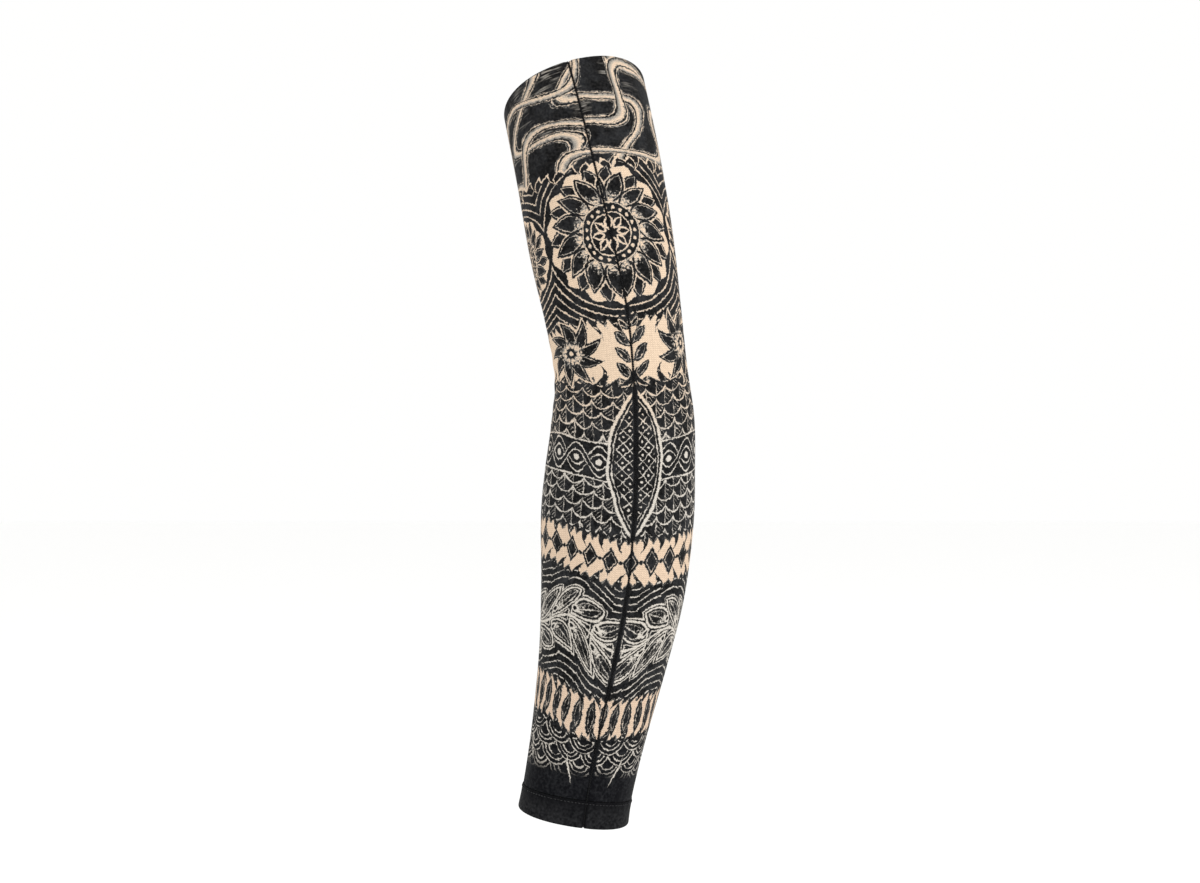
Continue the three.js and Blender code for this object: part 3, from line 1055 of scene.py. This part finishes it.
# The stitches: black thread laid in short bars. Slanted ones close the long seam, loops over its inner
# ridge keep the cut edges from fraying, and a row of straight ones holds the band's top edge.
STITCH_SEED = 7
RANDOM_MIN, RANDOM_MAX, RANDOM_VALUE = 2, 3, 1  # the Random Value node's sockets for single numbers
STITCH_SIZES = ("Pitch", "Stitch Length", "Thread Radius", "Rise", "Slant", "Unevenness")
stitch_inputs = {"Line": "Geometry", **dict.fromkeys(STITCH_SIZES, "Float"), "Thread": "Material"}
sewing_tree = bpy.data.node_groups.new("row_of_stitches", "GeometryNodeTree")
stitch_sockets = {}
for title, kind in stitch_inputs.items():
    socket = sewing_tree.interface.new_socket(title, in_out="INPUT", socket_type=f"NodeSocket{kind}")
    stitch_sockets[title] = socket.identifier
sewing_tree.interface.new_socket("Stitches", in_out="OUTPUT", socket_type="NodeSocketGeometry")
given = sewing_tree.nodes.new("NodeGroupInput").outputs

# One stitch: a round thread that rises from its two ends to its middle
stitch_length = Drawn(sewing_tree, given["Stitch Length"])
thread_start = put(sewing_tree, "ShaderNodeCombineXYZ", X=stitch_length * -0.5)
thread_crown = put(sewing_tree, "ShaderNodeCombineXYZ", Z=given["Rise"])
thread_end = put(sewing_tree, "ShaderNodeCombineXYZ", X=stitch_length * 0.5)
bar = put(sewing_tree, "GeometryNodeCurveQuadraticBezier", Resolution=6,
          Start=thread_start.outputs["Vector"], Middle=thread_crown.outputs["Vector"],
          End=thread_end.outputs["Vector"])
round_thread = put(sewing_tree, "GeometryNodeCurvePrimitiveCircle", Resolution=6,
                   Radius=given["Thread Radius"])
stitch = put(sewing_tree, "GeometryNodeCurveToMesh", Curve=bar.outputs["Curve"],
             Profile_Curve=round_thread.outputs["Curve"], Fill_Caps=True)

# Stitches laid along the line, upright on the cloth and each turned a little differently
as_curve = put(sewing_tree, "GeometryNodeMeshToCurve", Mesh=given["Line"])
spaced = put(sewing_tree, "GeometryNodeResampleCurve", {"mode": "LENGTH"},
             Curve=as_curve.outputs["Curve"], Length=given["Pitch"])
tangent = put(sewing_tree, "GeometryNodeInputTangent")
outward = put(sewing_tree, "GeometryNodeInputNamedAttribute", {"data_type": "FLOAT_VECTOR"}, Name="outward")
along_line = put(sewing_tree, "FunctionNodeAlignRotationToVector", {"axis": "X"},
                 Vector=tangent.outputs["Tangent"])
upright = put(sewing_tree, "FunctionNodeAlignRotationToVector", {"axis": "Z", "pivot_axis": "X"},
              Rotation=along_line.outputs["Rotation"], Vector=outward.outputs["Attribute"])
uneven = put(sewing_tree, "FunctionNodeRandomValue", {"data_type": "FLOAT"}, Seed=STITCH_SEED)
most_uneven = Drawn(sewing_tree, given["Unevenness"])
fill(sewing_tree, uneven.inputs[RANDOM_MIN], most_uneven * -1.0)
fill(sewing_tree, uneven.inputs[RANDOM_MAX], most_uneven)
turned = Drawn(sewing_tree, given["Slant"]) + Drawn(sewing_tree, uneven.outputs[RANDOM_VALUE])
slant_turn = put(sewing_tree, "FunctionNodeAxisAngleToRotation", Axis=(0, 0, 1), Angle=turned)
slanted = put(sewing_tree, "FunctionNodeRotateRotation", {"rotation_space": "LOCAL"},
              Rotation=upright.outputs["Rotation"], Rotate_By=slant_turn.outputs["Rotation"])
laid = put(sewing_tree, "GeometryNodeInstanceOnPoints", Points=spaced.outputs["Curve"],
           Instance=stitch.outputs["Mesh"], Rotation=slanted.outputs["Rotation"])
real = put(sewing_tree, "GeometryNodeRealizeInstances", Geometry=laid.outputs["Instances"])
smooth = put(sewing_tree, "GeometryNodeSetShadeSmooth", Geometry=real.outputs["Geometry"])
threaded = put(sewing_tree, "GeometryNodeSetMaterial", Geometry=smooth.outputs["Geometry"],
               Material=given["Thread"])
stitches_out = sewing_tree.nodes.new("NodeGroupOutput")
fill(sewing_tree, stitches_out.inputs["Stitches"], threaded.outputs["Geometry"])


def sew(name, thread, down, turn, out, closed=False, face=1.0, **sizes):
    """Lays a row of stitches along a line on the sleeve, as a plain mesh object. Face is 1 for stitches
    seen from outside and -1 for those seen from inside."""
    points = on_arm(down, turn, out)
    outward_of = on_arm(down, turn, out + face) - points
    outward_of /= np.linalg.norm(outward_of, axis=-1, keepdims=True)
    count = len(points)
    edges = [(k, k + 1) for k in range(count - 1)]
    if closed:
        edges.append((count - 1, 0))
    path = new_piece(name + "_line", (points * MM).tolist(), edges, [])
    stood_up = path.data.attributes.new("outward", "FLOAT_VECTOR", "POINT")
    stood_up.data.foreach_set("vector", outward_of.ravel())
    sewing = path.modifiers.new("stitches", "NODES")
    sewing.node_group = sewing_tree
    for title, value in sizes.items():
        sewing[stitch_sockets[title.replace("_", " ")]] = value
    sewing[stitch_sockets["Thread"]] = thread
    evaluated = path.evaluated_get(bpy.context.evaluated_depsgraph_get())
    mesh = bpy.data.meshes.new_from_object(evaluated)
    path.modifiers.clear()
    bpy.data.objects.remove(path)
    row = in_scene(name, mesh)
    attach(row, "root")


LADDER_OUT = -0.5  # from the cloth's outer face, down in the groove
LADDER_START = 0.8  # from the mouth
LADDER_END = 1.2  # from the sleeve's lower edge
LADDER_POINTS = 400
OVERLOCK_OUT = RIDGE_DEEP - 0.05
HEM_STITCH_OUT = 0.28
overlock_thread = thread_material(
    "overlock_thread", shaded_hollows=(0.006, 0.006, 0.0065, 1), highlit_crests=(0.03, 0.03, 0.033, 1))
hem_thread = thread_material(
    "hem_thread", shaded_hollows=(0.005, 0.005, 0.0055, 1), highlit_crests=(0.034, 0.034, 0.036, 1))
ladder_down = np.linspace(LADDER_START, SLEEVE_LENGTH - LADDER_END, LADDER_POINTS)
at_seam = np.zeros_like(ladder_down)
hem_turns = np.linspace(0, 2 * pi, TURN_COUNT)[:-1]
hem_down = np.full_like(hem_turns, BAND_TOP + HEM_STITCH_DROP)
hem_out = np.full_like(hem_turns, HEM_STITCH_OUT)
sew("seam_stitches", black_thread, ladder_down, at_seam, at_seam + LADDER_OUT,
    Pitch=1.25 * MM, Stitch_Length=2.0 * MM, Thread_Radius=0.27 * MM, Rise=0.35 * MM,
    Slant=radians(27), Unevenness=radians(6))
sew("overlock_loops", overlock_thread, ladder_down, at_seam, at_seam + OVERLOCK_OUT, face=-1.0,
    Pitch=1.5 * MM, Stitch_Length=3.9 * MM, Thread_Radius=0.22 * MM, Rise=0.3 * MM,
    Slant=radians(78), Unevenness=radians(4))
sew("hem_stitches", hem_thread, hem_down, hem_turns, hem_out, closed=True,
    Pitch=1.9 * MM, Stitch_Length=1.15 * MM, Thread_Radius=0.26 * MM, Rise=0.3 * MM,
    Slant=radians(4), Unevenness=radians(5))


# The floor is plain and pale, well below the sleeve, which hangs in the air as on an arm that isn't
# shown.
FLOOR_DROP = 0.10
FLOOR_HALF = 6.0
FLOOR_FINISH = {"Base Color": (0.985, 0.985, 0.98, 1), "Roughness": 0.9}
floor_height = cad_box[0][2] - FLOOR_DROP
corner_signs = ((-1, -1), (1, -1), (1, 1), (-1, 1))
floor_corners = [(FLOOR_HALF * x, FLOOR_HALF * y, floor_height) for x, y in corner_signs]
floor = new_piece("floor", floor_corners, [], [(0, 1, 2, 3)])
pale_floor, _, _ = new_material("pale_floor", FLOOR_FINISH)
floor.data.materials.append(pale_floor)

# Soft studio light: a pale surround, a large softbox in front to the right and a weaker one to the left.
world = bpy.data.worlds.new("studio")
bpy.context.scene.world = world
world.use_nodes = True
world.node_tree.nodes["Background"].inputs["Color"].default_value = (1.0, 1.0, 0.995, 1)
world.node_tree.nodes["Background"].inputs["Strength"].default_value = 1.0

SOFTBOX_WIDE = 1.2
SLEEVE_MIDDLE = (0.015, -0.026, -0.19)


def softbox(name, place, watts):
    """A round softbox aimed at the middle of the sleeve."""
    lamp = bpy.data.lights.new(name, "AREA")
    lamp.shape = "DISK"
    lamp.size = SOFTBOX_WIDE
    lamp.energy = watts
    box = in_scene(name, lamp)
    box.location = place
    direction = np.array(SLEEVE_MIDDLE) - np.array(place)
    box.rotation_euler = mathutils.Vector(direction).to_track_quat("-Z", "Y").to_euler()


softbox("key_softbox", place=(1.35, -0.85, 0.5), watts=11.5)
softbox("fill_softbox", place=(-1.1, -1.3, 0.5), watts=4.5)

bpy.context.scene.view_settings.view_transform = "Standard"
bpy.context.scene.view_settings.look = "None"

# The camera looks level along +Y at the middle of the sleeve's height.
lens = bpy.data.cameras.new("camera")
lens.sensor_width = 36.0
lens.lens = 55.15
camera = in_scene("camera", lens)
camera.location = (0.01414, -1.026, -0.18986)
camera.rotation_euler = (radians(90), 0, 0)
bpy.context.scene.camera = camera
